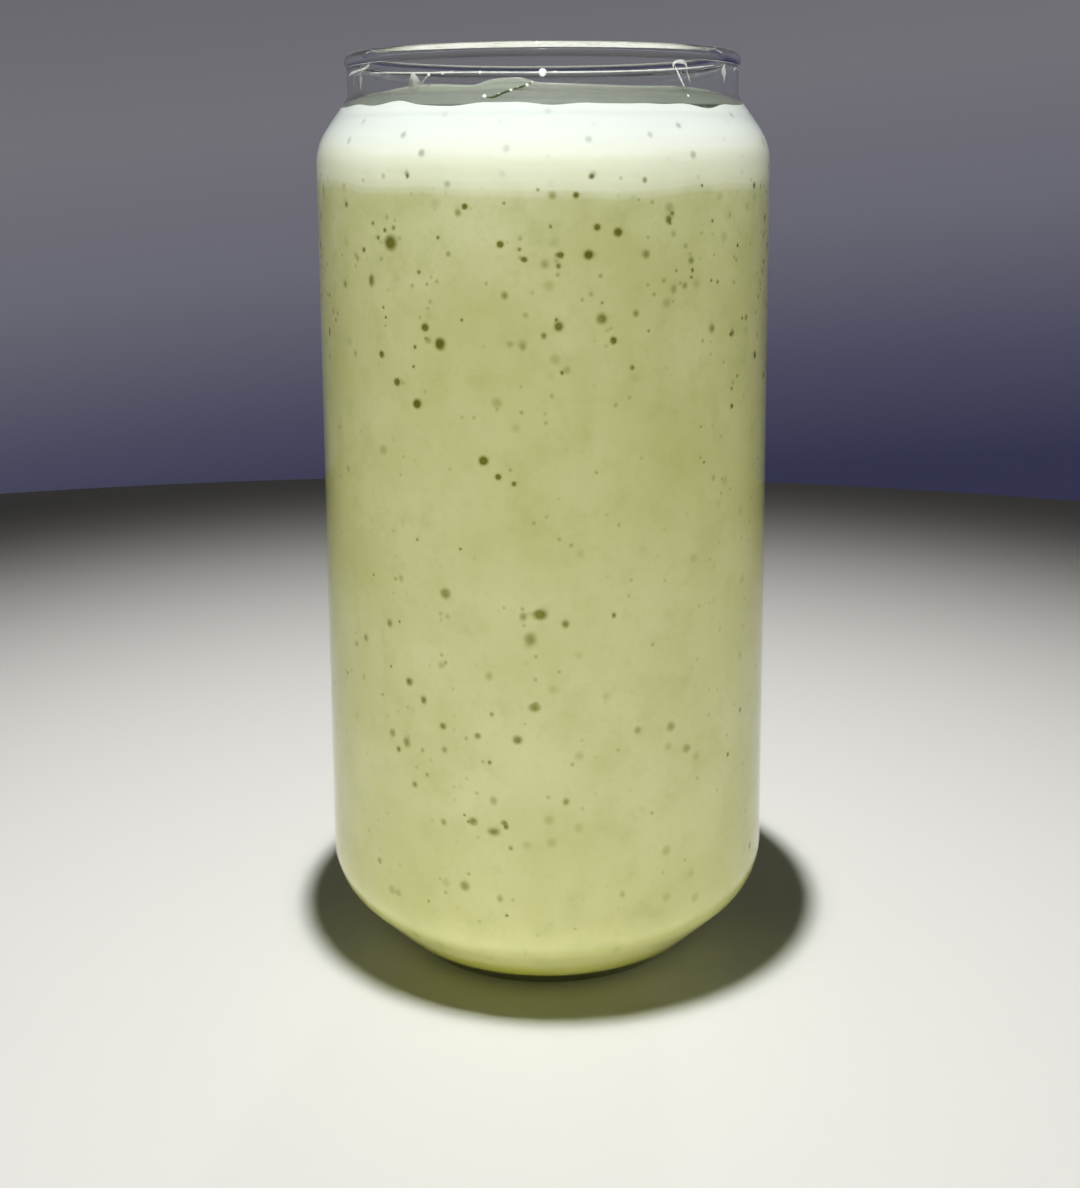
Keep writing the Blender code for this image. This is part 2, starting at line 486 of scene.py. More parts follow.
def drink_colour(tree):
    """Colour of the drink and the froth: mottled green with a painted glow towards the top and painted shade
    at the foot, with spots, and with froth painted darker near its top as painted shade.
    """
    green = DRINK_COLOUR
    # Painted glow towards the top, painted shade at the foot.
    for low, high, colour in PAINTED_LIGHT_BY_HEIGHT:
        green = mixed_colour(tree, height_share(tree, low, high), green, colour)
    for *mottle, colour in DRINK_MOTTLES:
        green = mixed_colour(tree, mottle_share(tree, *mottle), green, colour)
    for spots in (DRINK_SPOTS, DRINK_SPECKS):
        green = mixed_colour(tree, placed_group(tree, sunk_spots, **spots), green, SPOT_COLOUR)
    # Painted shade on the upper froth.
    upper_froth = height_share(tree, FROTH_TOP_FROM, FROTH_TOP_UP_TO)
    white = mixed_colour(tree, upper_froth, FROTH_COLOUR, FROTH_TOP_PAINTED_SHADE)
    white = mixed_colour(tree, placed_group(tree, sunk_spots, **FROTH_SPOTS), white, FROTH_SPOT_COLOUR)
    fade = placed_group(tree, froth_fade, Low=FADE_LOW, High=FADE_HIGH, Wander=FADE_WANDER)
    return mixed_colour(tree, fade, green, white)


def surface(tree, values):
    """A Principled shader with its values, put out as the material's surface."""
    shader = add_node(tree, "ShaderNodeBsdfPrincipled", values)
    add_node(tree, "ShaderNodeOutputMaterial", {"Surface": shader.outputs[0]})


def smoothie_material():
    """The drink against the glass: matt, because no air lies between it and the wall."""
    material, tree = new_material("green_smoothie")
    surface(tree, {
        "Base Color": drink_colour(tree),
        "Roughness": DRINK_ROUGHNESS,
        "Diffuse Roughness": SOFT_LIGHT_SPREAD,
        "Specular IOR Level": GLOSS_UNDER_GLASS,
    })
    return material


wet_wall = pushed_out(wall_inside() + lip_arc()[:1], REACH_INTO_WALL)
drink_middle = Vector((0.0, FROTH_SEAM))
drink_side = side_down(wet_wall, FROTH_SEAM)
drink_outline = [drink_middle] + held(drink_middle, drink_side[0], drink_side[1]) + drink_side[1:]
smoothie_mesh = turned_mesh("green_smoothie", drink_outline, DRINK_TURN_STEPS)
smoothie = add_piece("green_smoothie", smoothie_mesh, smoothie_material())
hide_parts("smoothie")
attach(smoothie, "root")


# Froth
# Fine foam that rose to the top as the drink was blended and poured, about 11 mm deep.
# It fills the shoulder, wets the glass and has a slightly uneven top with a low edge at one side.
FROTH_RINGS = 26
FROTH_SWELL = 0.00035
FROTH_SWELL_SPACING = 0.009
FROTH_CLING = -0.0002
FROTH_CLING_WIDTH = 0.0016
FROTH_CLING_WAVE = 0.0007
FROTH_CLING_WAVE_SPACING = 0.0065
EDGE_BLEND = 0.003
LOW_EDGE_DEPTH = 0.00055
LOW_EDGE_SIDE = math.radians(51)
LOW_EDGE_WIDTH = math.radians(9)
FACE_EDGE_WIDTH = 0.010
# The froth's upper face is painted dark, darkest at the wall: painted shade. The deeper blotches are its own
# uneven tone.
FACE_MIDDLE_PAINTED_SHADE = (0.70, 0.70, 0.65, 1.0)
FACE_EDGE_PAINTED_SHADE = (0.16, 0.175, 0.14, 1.0)
FACE_DEEP_COLOUR = (0.40, 0.43, 0.30, 1.0)
FACE_MOTTLE = (170.0, 4.0, 0.42, 0.70, 0.6)
FACE_RING_CROWDING = 0.7
CLING_WAVE_ROW = 0.02
FROTH_ROUGHNESS = 0.6
PIT_SCALE = 1600.0
PIT_STRENGTH = 0.06
PIT_DEPTH = 0.0002


def risen(value, low, high):
    """0 below low, 1 above high and a smooth rise between."""
    share = min(1.0, max(0.0, (value - low) / (high - low)))
    return share * share * (3 - 2 * share)


def side_angle(x, y):
    """Angle about the axis, 0 at the photographed side (-Y), positive towards +X."""
    return math.atan2(x, -y)


def froth_top(x, y, wall_radius):
    """Height of the froth's top above its level, from its swells, its cling to the wall and its low edge."""
    swell = noise.noise(Vector((x, y, 0.0)) / FROTH_SWELL_SPACING) * FROTH_SWELL
    to_wall = wall_radius - math.hypot(x, y)
    near_wall = math.exp(-max(0.0, to_wall) / FROTH_CLING_WIDTH)
    off_low_edge = (side_angle(x, y) - LOW_EDGE_SIDE) / LOW_EDGE_WIDTH
    low_edge = math.exp(-off_low_edge ** 2) * LOW_EDGE_DEPTH
    wave = noise.noise(Vector((x, y, CLING_WAVE_ROW)) / FROTH_CLING_WAVE_SPACING) * FROTH_CLING_WAVE
    return swell + near_wall * (FROTH_CLING - low_edge + wave)


def froth_mesh():
    """The froth turned about the axis, then moved into its swells, with its face marked for the colour."""
    wall_radius = radius_at(wet_wall, FROTH_LEVEL)
    side = side_down(wet_wall, FROTH_LEVEL, FROTH_SEAM)
    top = []
    for ring in range(1, FROTH_RINGS):
        share = ring / FROTH_RINGS
        top.append(Vector((wall_radius * share ** FACE_RING_CROWDING, FROTH_LEVEL)))
    top_middle = Vector((0.0, FROTH_LEVEL))
    seam_middle = Vector((0.0, FROTH_SEAM))
    outline = [top_middle] + top + held(top[-1], side[0], side[1]) + side[1:-1]
    outline += held(side[-2], side[-1], seam_middle) + [seam_middle]
    mesh = turned_mesh("froth_layer", outline, DRINK_TURN_STEPS)
    face = mesh.attributes.new("face", "FLOAT", "POINT")
    inwards = mesh.attributes.new("inwards", "FLOAT", "POINT")
    vertex_level = mesh.vertices[0].co.z
    for vertex in mesh.vertices:
        x, y, z = vertex.co
        out = math.hypot(x, y)
        on_face = z == vertex_level and out < wall_radius - CORNER_HOLD / 2
        face.data[vertex.index].value = 1.0 if on_face else 0.0
        inwards.data[vertex.index].value = risen(wall_radius - out, 0.0, FACE_EDGE_WIDTH)
        share = risen(z, FROTH_LEVEL - EDGE_BLEND, FROTH_LEVEL)
        if share == 0 or out == 0:
            continue
        on_side = out > radius_at(wet_wall, z) - 2 * CORNER_HOLD
        stretch_out = wall_radius / out if on_side else 1.0
        vertex.co.z += froth_top(x * stretch_out, y * stretch_out, wall_radius) * share
        if on_side:
            stretch = radius_at(wet_wall, vertex.co.z) / out
            vertex.co.x *= stretch
            vertex.co.y *= stretch
    mesh.update()
    return mesh


def stored(tree, name):
    """A value that is stored by name on the points of the piece."""
    return add_node(tree, "ShaderNodeAttribute", attribute_name=name).outputs["Fac"]


def froth_material():
    """Foam: pale and matt, pitted by its finest bubbles, with its upper face painted dark as painted shade,
    darkest at the wall.
    """
    material, tree = new_material("pale_froth")
    pits = add_node(tree, "ShaderNodeTexVoronoi", {"Vector": object_place(tree), "Scale": PIT_SCALE})
    face = mixed_colour(tree, stored(tree, "inwards"), FACE_EDGE_PAINTED_SHADE, FACE_MIDDLE_PAINTED_SHADE)
    face = mixed_colour(tree, mottle_share(tree, *FACE_MOTTLE), face, FACE_DEEP_COLOUR)
    surface(tree, {
        "Base Color": mixed_colour(tree, stored(tree, "face"), drink_colour(tree), face),
        "Roughness": FROTH_ROUGHNESS,
        "Diffuse Roughness": SOFT_LIGHT_SPREAD,
        "Specular IOR Level": GLOSS_UNDER_GLASS,
        "Normal": bumps(tree, pits.outputs["Distance"], PIT_STRENGTH, PIT_DEPTH),
    })
    return material


froth = add_piece("froth_layer", froth_mesh(), froth_material())
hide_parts("froth")
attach(froth, "root")


# Bubbles in the drink
# Air bubbles that the blender left and that stopped at the glass. Each is a flat blister at the wall,
# darker than the drink because light sinks into it, and soft at its edge where the drink closes over it.
# The largest at the photographed side are listed one by one; a seeded draw places the rest all round.
BUBBLE_SEED = 14
SMALL_BUBBLE_COUNT = 430
SMALL_BUBBLE_LEAST = 0.00046
SMALL_BUBBLE_MOST = 0.00120
FAR_BUBBLE_COUNT = 34
FAR_BUBBLE_LEAST = 0.00055
FAR_BUBBLE_MOST = 0.0013
FAR_SIDE = math.radians(62)
BUBBLE_SPREAD = 1.6
BUBBLE_FLATNESS = 0.30
BUBBLE_SIDES = 12
BUBBLE_RINGS = 6
LOWEST_BUBBLE = 0.014
HIGHEST_BUBBLE = 0.1335
CROWD_LEAST = 0.07
CROWD_UPPER = 0.7
CROWD_CLUSTER = 0.50
CLUMP_MIDDLE = 0.55
CLUMP_SWING = 0.9
CLUMPS_ROUND = 5.0
CLUMPS_UP = 160.0
CLUMP_ROW = 3.0
CROWDED_FROM = 0.092
CROWDED_UP_TO = 0.117
LOWER_CLUSTER_SIDE = math.radians(-27)
LOWER_CLUSTER_WIDTH = math.radians(26)
LOWER_CLUSTER_HEIGHT = 0.046
LOWER_CLUSTER_TALL = 0.024
BUBBLE_DARK = (0.145, 0.145, 0.018, 1.0)
BUBBLE_PALE = (0.31, 0.31, 0.11, 1.0)
BUBBLE_SOFTNESS = 1.6
BUBBLE_CORE = 0.12
BUBBLE_FAINTEST = 0.26
BUBBLE_ROUGHNESS = 0.4
BUBBLE_GLOSS = 0.1
BUBBLE_SIZE_LEAN = 2.2
BUBBLE_WIDTHS = (0.85, 1.0)
BUBBLE_TALLS = (0.9, 1.15)
BUBBLE_TONES = (0.35, 1.3)
SLOPE_STEP = 0.0002
MM = 0.001
# Side angle in degrees, height, width and tallness in mm, and tone from 0, dark, to 1, faint.
LARGE_BUBBLES = [
    (-38.5, 122.4, 2.4, 2.4, 0.10),
    (10.3, 120.9, 1.5, 1.5, 0.00),
    (17.3, 124.1, 1.4, 1.4, 0.05),
    (12.3, 124.9, 1.1, 1.1, 0.10),
    (-25.0, 107.5, 1.7, 1.9, 0.00),
    (-29.0, 109.9, 1.3, 1.3, 0.05),
    (-31.6, 98.1, 1.5, 1.5, 0.00),
    (-37.5, 101.2, 1.3, 1.3, 0.15),
    (-42.5, 105.2, 1.1, 1.2, 0.10),
    (-14.5, 90.1, 1.5, 1.5, 0.05),
    (-11.0, 87.7, 1.0, 1.0, 0.10),
    (-7.3, 86.7, 0.8, 0.8, 0.20),
    (-1.4, 66.5, 2.2, 1.7, 0.15),
    (-10.0, 122.5, 1.1, 1.1, 0.05),
    (-4.5, 120.3, 1.1, 0.9, 0.15),
    (3.8, 120.9, 1.1, 1.1, 0.15),
    (-18.3, 128.0, 1.0, 1.0, 0.10),
    (7.4, 129.6, 1.0, 1.0, 0.10),
    (11.0, 132.3, 0.9, 0.9, 0.20),
    (3.3, 110.4, 1.4, 1.6, 0.20),
    (16.2, 108.1, 1.1, 1.2, 0.10),
    (13.4, 111.4, 1.7, 1.7, 0.40),
    (-35.5, 53.6, 1.4, 1.4, 0.40),
    (-31.3, 51.2, 1.2, 1.5, 0.45),
    (-2.8, 51.8, 1.9, 1.5, 0.45),
    (-41.5, 44.3, 1.2, 1.5, 0.60),
    (-36.7, 43.5, 1.5, 1.9, 0.60),
    (-41.7, 62.4, 1.2, 1.5, 0.60),
    (-7.0, 46.5, 1.6, 1.4, 0.40),
    (-16.8, 46.7, 1.1, 1.1, 0.50),
    (-18.2, 32.6, 1.5, 1.4, 0.45),
    (-13.0, 31.3, 2.1, 1.4, 0.45),
    (-34.5, 36.8, 1.1, 1.1, 0.60),
    (-10.4, 32.9, 0.9, 0.9, 0.50),
    (-24.6, 68.9, 1.8, 1.8, 0.55),
    (-3.7, 62.6, 2.0, 2.4, 0.60),
    (31.8, 46.5, 1.8, 1.6, 0.80),
    (36.7, 42.2, 1.8, 1.6, 0.80),
    (-20.6, 21.6, 1.7, 1.7, 0.60),
    (-45.5, 116.5, 1.2, 2.0, 0.35),
]


def blister_tree():
    """Geometry Nodes: a flattened ball on each point, turned to face away from the axis."""
    inputs = {"Geometry": "Geometry", "Sides": "Int", "Rings": "Int", "Material": "Material"}
    tree, given = new_group("blisters_on_points", "GeometryNodeTree", inputs, {"Geometry": "Geometry"})
    points = add_node(tree, "GeometryNodeMeshToPoints", {"Mesh": given["Geometry"]})
    sizes = {"Segments": given["Sides"], "Rings": given["Rings"], "Radius": 1.0}
    ball = add_node(tree, "GeometryNodeMeshUVSphere", sizes)
    spot = tree.nodes.new("GeometryNodeInputPosition").outputs["Position"]
    level = add_node(tree, "ShaderNodeVectorMath", {0: spot, 1: (1.0, 1.0, 0.0)}, operation="MULTIPLY")
    reach = add_node(tree, "ShaderNodeVectorMath", {0: level.outputs["Vector"]}, operation="LENGTH")
    edge = {"Geometry": ball.outputs["Mesh"], "Name": "edge"}
    edged = add_node(tree, "GeometryNodeStoreNamedAttribute", edge, data_type="FLOAT", domain="POINT")
    tree.links.new(reach.outputs["Value"], edged.inputs["Value"])
    outward = add_node(tree, "GeometryNodeInputNamedAttribute", {"Name": "outward"}, data_type="FLOAT_VECTOR")
    reaches = add_node(tree, "GeometryNodeInputNamedAttribute", {"Name": "reaches"}, data_type="FLOAT_VECTOR")
    away = {"Vector": outward.outputs["Attribute"]}
    facing = add_node(tree, "FunctionNodeAlignRotationToVector", away, axis="Z")
    up = {"Rotation": facing.outputs["Rotation"], "Vector": (0.0, 0.0, 1.0)}
    upright = add_node(tree, "FunctionNodeAlignRotationToVector", up, axis="Y", pivot_axis="Z")
    placed = add_node(tree, "GeometryNodeInstanceOnPoints", {
        "Points": points.outputs["Points"],
        "Instance": edged.outputs["Geometry"],
        "Rotation": upright.outputs["Rotation"],
        "Scale": reaches.outputs["Attribute"],
    })
    real = add_node(tree, "GeometryNodeRealizeInstances", {"Geometry": placed.outputs["Instances"]})
    smooth = add_node(tree, "GeometryNodeSetShadeSmooth", {"Geometry": real.outputs["Geometry"]})
    coat = {"Geometry": smooth.outputs["Geometry"], "Material": given["Material"]}
    finished = add_node(tree, "GeometryNodeSetMaterial", coat)
    add_node(tree, "NodeGroupOutput", {"Geometry": finished.outputs["Geometry"]})
    return tree


blisters_on_points = blister_tree()


def blister_piece(name, places, sides, rings, material):
    """A piece of blisters, from (place, outward, reaches, tone) for each of them."""
    bed = bpy.data.meshes.new(name + "_places")
    bed.from_pydata([place for place, _, _, _ in places], [], [])
    for attribute, index in (("outward", 1), ("reaches", 2)):
        values = bed.attributes.new(attribute, "FLOAT_VECTOR", "POINT")
        values.data.foreach_set("vector", [part for row in places for part in row[index]])
    tones = bed.attributes.new("tone", "FLOAT", "POINT")
    tones.data.foreach_set("value", [tone for _, _, _, tone in places])
    holder = bpy.data.objects.new(name + "_places", bed)
    bpy.context.scene.collection.objects.link(holder)
    modifier = holder.modifiers.new("blisters", "NODES")
    modifier.node_group = blisters_on_points
    settings = {"Sides": sides, "Rings": rings, "Material": material}
    for item in blisters_on_points.interface.items_tree:
        if item.in_out == "INPUT" and item.name in settings:
            modifier[item.identifier] = settings[item.name]
    bpy.context.view_layer.update()
    evaluated = holder.evaluated_get(bpy.context.evaluated_depsgraph_get())
    mesh = bpy.data.meshes.new_from_object(evaluated)
    holder.modifiers.remove(modifier)
    bpy.data.objects.remove(holder)
    return add_piece(name, mesh, material)


def wall_place(points, angle, height):
    """Place and outward direction on a turned outline, at a side angle and a height."""
    radius = radius_at(points, height)
    upper = radius_at(points, height + SLOPE_STEP)
    lower = radius_at(points, height - SLOPE_STEP)
    slope = (upper - lower) / (2 * SLOPE_STEP)
    ahead = Vector((math.sin(angle), -math.cos(angle), 0.0))
    place = ahead * radius + Vector((0.0, 0.0, height))
    outward = (ahead - Vector((0.0, 0.0, slope))).normalized()
    return place, outward


def crowding(angle, height):
    """How likely a small bubble is at a place: most near the top, and in a cluster low on the left."""
    upper = risen(height, CROWDED_FROM, CROWDED_UP_TO)
    off_side = (angle - LOWER_CLUSTER_SIDE) / LOWER_CLUSTER_WIDTH
    off_height = (height - LOWER_CLUSTER_HEIGHT) / LOWER_CLUSTER_TALL
    cluster = CROWD_CLUSTER * math.exp(-off_side ** 2 - off_height ** 2)
    clump = noise.noise(Vector((angle * CLUMPS_ROUND, height * CLUMPS_UP, CLUMP_ROW)))
    return (CROWD_LEAST + CROWD_UPPER * upper + cluster) * max(0.0, CLUMP_MIDDLE + CLUMP_SWING * clump)


def scattered_bubbles(draw, count, least, most, chance, low, high):
    """Places of bubbles drawn at random over the side of the drink, as often as chance says."""
    places = []
    while len(places) < count:
        angle = draw.uniform(-math.pi, math.pi)
        height = draw.uniform(low, high)
        if draw.random() > chance(angle, height):
            continue
        size = least + (most - least) * draw.random() ** BUBBLE_SIZE_LEAN
        place, outward = wall_place(wet_wall, angle, height)
        width = size * draw.uniform(*BUBBLE_WIDTHS)
        tall = size * draw.uniform(*BUBBLE_TALLS)
        reaches = (width, tall, size * BUBBLE_FLATNESS)
        places.append((place, outward, reaches, draw.uniform(*BUBBLE_TONES)))
    return places


def far_chance(angle, height):
    """Large bubbles are drawn only beyond the sides of the photographed part."""
    return crowding(angle, height) if abs(angle) > FAR_SIDE else 0.0


def bubble_material():
    """Dark olive in the middle, see-through at its soft edge; each bubble has its own tone."""
    material, tree = new_material("drink_bubble")
    tone = stored(tree, "tone")
    soft = ranged(tree, stored(tree, "edge"), 1.0, BUBBLE_CORE, kind="SMOOTHSTEP")
    softer = worked_out(tree, "POWER", soft, BUBBLE_SOFTNESS)
    faint = ranged(tree, tone, 0.0, 1.0, 1.0, BUBBLE_FAINTEST)
    surface(tree, {
        "Base Color": mixed_colour(tree, tone, BUBBLE_DARK, BUBBLE_PALE),
        "Roughness": BUBBLE_ROUGHNESS,
        "Specular IOR Level": BUBBLE_GLOSS,
        "Alpha": worked_out(tree, "MULTIPLY", softer, faint),
    })
    return material


dark_bubble = bubble_material()
bubble_draw = random.Random(BUBBLE_SEED)

large_places = []
for degrees, height, width, tall, tone in LARGE_BUBBLES:
    place, outward = wall_place(wet_wall, math.radians(degrees), height * MM)
    half_width = width * MM / 2 * BUBBLE_SPREAD
    reaches = (half_width, tall * MM / 2 * BUBBLE_SPREAD, half_width * BUBBLE_FLATNESS)
    large_places.append((place, outward, reaches, tone))
large_places += scattered_bubbles(
    bubble_draw, FAR_BUBBLE_COUNT, FAR_BUBBLE_LEAST, FAR_BUBBLE_MOST, far_chance, LOWEST_BUBBLE, FROTH_SEAM
)
large_bubbles = blister_piece("large_bubbles", large_places, BUBBLE_SIDES * 2, BUBBLE_RINGS * 2, dark_bubble)
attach(large_bubbles, "root")

small_places = scattered_bubbles(
    bubble_draw, SMALL_BUBBLE_COUNT, SMALL_BUBBLE_LEAST, SMALL_BUBBLE_MOST, crowding,
    LOWEST_BUBBLE, HIGHEST_BUBBLE
)
small_bubbles = blister_piece("small_bubbles", small_places, BUBBLE_SIDES, BUBBLE_RINGS, dark_bubble)
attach(small_bubbles, "root")


# Foam on the froth
# The open bubbles of the foam's upper face: wet domes of mixed sizes, pale or greener by how thick their
# skin of drink is. They lie half sunk in the froth and are packed more closely at the wall.
FOAM_SEED = 5
FOAM_COUNT = 900
FOAM_LEAST = 0.00018
FOAM_MOST = 0.0008
FOAM_SIDES = 10
FOAM_RINGS = 6
FOAM_HEIGHT_SHARE = 0.55
FOAM_COLOUR = (0.46, 0.49, 0.40, 1.0)
FOAM_HOLLOW_COLOUR = (0.26, 0.29, 0.17, 1.0)
FOAM_ROUGHNESS = 0.3
FOAM_SIZE_LEAN = 4
FOAM_PLACE_LEAN = 0.4
FOAM_TONE_LEAN = 2


def foam_material():
    """Wet pale domes, some of them greener, where their skin is thin and the drink shows through."""
    material, tree = new_material("foam_bubble")
    colour = mixed_colour(tree, stored(tree, "tone"), FOAM_COLOUR, FOAM_HOLLOW_COLOUR)
    surface(tree, {"Base Color": colour, "Roughness": FOAM_ROUGHNESS})
    return material


foam_draw = random.Random(FOAM_SEED)
foam_reach = radius_at(wet_wall, FROTH_LEVEL)
foam_places = []
for _ in range(FOAM_COUNT):
    size = FOAM_LEAST + (FOAM_MOST - FOAM_LEAST) * foam_draw.random() ** FOAM_SIZE_LEAN
    angle = foam_draw.uniform(-math.pi, math.pi)
    out = (foam_reach - size - REACH_INTO_WALL) * foam_draw.random() ** FOAM_PLACE_LEAN
    x = out * math.sin(angle)
    y = -out * math.cos(angle)
    place = Vector((x, y, FROTH_LEVEL + froth_top(x, y, foam_reach)))
    reaches = (size, size, size * FOAM_HEIGHT_SHARE)
    tone = foam_draw.random() ** FOAM_TONE_LEAN
    foam_places.append((place, Vector((0.0, 0.0, 1.0)), reaches, tone))
foam = blister_piece("foam_bubbles", foam_places, FOAM_SIDES, FOAM_RINGS, foam_material())
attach(foam, "root")


# Film in the neck
# What the froth left on the inside of the glass as it sank: a thin wet skin, higher at some places
# than at others, that ends in a soft wavy edge under the neck. It is as thin as a coat of paint, and
# on the slope of the shoulder it is painted darker, as painted shade for the dim inside of the glass behind
# it.
FILM_STEPS = 288
FILM_ROWS = 8
FILM_FOOT_DEPTH = 0.0006
FILM_THICK = 0.00014
FILM_THIN = 0.00003
FILM_REACH_INTO_WALL = 0.00005
FILM_REACH = 0.0031
FILM_WANDER = 0.0005
FILM_HUMP = 0.0009
FILM_HUMP_SIDE = math.radians(-10)
FILM_HUMP_WIDTH = math.radians(7)
FILM_EASE_SIDE = math.radians(35)
FILM_END_SIDE = math.radians(85)
FILM_COLOUR = (0.50, 0.53, 0.43, 1.0)
# Painted shade: the film is darker on the slope of the shoulder.
FILM_SLOPE_FADES_FROM = 0.1443
FILM_SLOPE_FADES_UP_TO = 0.1457
FILM_SLOPE_PAINTED_SHADE = (0.250, 0.264, 0.228, 1.0)
FILM_EDGE_FADE = 0.6
FILM_EDGE_ROWS = 2
FILM_EASE = 0.95
FILM_WANDER_TURNS = 2.7
FILM_WANDER_ROW = 0.4
FILM_THINNING = 3
FILM_ROUGHNESS = 0.35
FILM_BLOTCHES = (90.0, 4.0)
FILM_BLOTCH_RANGE = (0.3, 0.75)
FILM_COVER_RANGE = (0.62, 0.86)
inner_wall = wall_inside() + [point for point in lip_arc() if point.x < LIP_MIDDLE_RADIUS]


def film_reach(angle):
    """How far the film comes up above the froth at a side angle."""
    ease = 1 - FILM_EASE * risen(abs(angle), FILM_EASE_SIDE, FILM_END_SIDE)
    hump = FILM_HUMP * math.exp(-((angle - FILM_HUMP_SIDE) / FILM_HUMP_WIDTH) ** 4)
    around = Vector((math.sin(angle), math.cos(angle), FILM_WANDER_ROW))
    wander = noise.noise(around * FILM_WANDER_TURNS) * FILM_WANDER
    return (FILM_REACH + hump + wander) * ease


def band(low, high, count):
    """Faces between two closed rings of corners, each given by its first corner."""
    faces = []
    for step in range(count):
        after = (step + 1) % count
        faces.append((low + step, low + after, high + after, high + step))
    return faces


def film_mesh():
    """A closed skin round the neck, with its slope and its cover stored for the colour and the edge."""
    verts = []
    slopes = []
    covers = []
    foot = FROTH_LEVEL - FILM_FOOT_DEPTH
    last_row = FILM_ROWS - 1
    for inner in (False, True):
        for row in range(FILM_ROWS):
            up = row / last_row
            thick = FILM_THIN + (FILM_THICK - FILM_THIN) * (1 - up ** FILM_THINNING)
            for step in range(FILM_STEPS):
                angle = math.tau * step / FILM_STEPS
                top = FROTH_LEVEL + film_reach(side_angle(math.cos(angle), math.sin(angle)))
                height = foot + (top - foot) * up
                radius = radius_at(inner_wall, height) + (-thick if inner else FILM_REACH_INTO_WALL)
                verts.append((radius * math.cos(angle), radius * math.sin(angle), height))
                slopes.append(1 - risen(height, FILM_SLOPE_FADES_FROM, FILM_SLOPE_FADES_UP_TO))
                covers.append(1 - FILM_EDGE_FADE * risen(row, last_row - FILM_EDGE_ROWS, last_row))
    top = last_row * FILM_STEPS
    skin = FILM_ROWS * FILM_STEPS
    faces = band(top, skin + top, FILM_STEPS) + band(skin, 0, FILM_STEPS)
    for low in range(0, top, FILM_STEPS):
        high = low + FILM_STEPS
        faces += band(low, high, FILM_STEPS) + band(skin + high, skin + low, FILM_STEPS)
    mesh = smooth_mesh("neck_film", verts, faces)
    for name, values in (("slope", slopes), ("cover", covers)):
        mesh.attributes.new(name, "FLOAT", "POINT").data.foreach_set("value", values)
    return mesh


def film_material():
    """Grey-green, painted darker on the slope as painted shade, and almost opaque, thinner in blotches and at
    the upper edge.
    """
    material, tree = new_material("froth_film")
    blotches = noise_pattern(tree, *FILM_BLOTCHES)
    cover = ranged(tree, blotches, *FILM_BLOTCH_RANGE, *FILM_COVER_RANGE)
    surface(tree, {
        "Base Color": mixed_colour(tree, stored(tree, "slope"), FILM_COLOUR, FILM_SLOPE_PAINTED_SHADE),
        "Roughness": FILM_ROUGHNESS,
        "Alpha": worked_out(tree, "MULTIPLY", cover, stored(tree, "cover")),
    })
    return material


film = add_piece("neck_film", film_mesh(), film_material())
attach(film, "root")


# Runs and drops in the neck
# Thin runs of drink and drops that still hang on the inside of the neck: a looped run on the right,
# a beaded trickle over the film, a pale blob with a streak on the left, and a fine pale line at the back.
# The drops and one leg of the loop are near white as painted glints; the line at the back is a painted
# highlight along the lip.
RUN_SIDES = 8
RUN_STEP_DEGREES = 0.7
RUN_SUNK = 0.3
TRICKLE_SUNK = 0.8
RUN_WOBBLE = 0.5
RUN_WOBBLE_SPACING = 0.0007
RUN_END_RINGS = 6
RUN_END_LEAST = 0.3
# Colour of each kind of wet trace, and its cover where it is thin and where it is thick. The near-white glint
# kind, on the drops and one leg of the loop, is a painted glint, and the pale run colour also stands for the
# line at the back of the lip, a painted highlight.
WET_KINDS = {
    "pale_run_and_painted_highlight": ((0.86, 0.88, 0.82, 1.0), 0.45, 0.85),
    "wet_trickle": ((0.10, 0.12, 0.05, 1.0), 0.6, 0.95),
    "wet_blob": ((0.50, 0.53, 0.47, 1.0), 0.35, 0.65),
    "wet_glint": ((0.96, 0.97, 0.95, 1.0), 0.8, 1.0),
}
WET_ROUGHNESS = 0.12
WET_PATCHES = (260.0, 2.0)
WET_PATCH_RANGE = (0.35, 0.65)
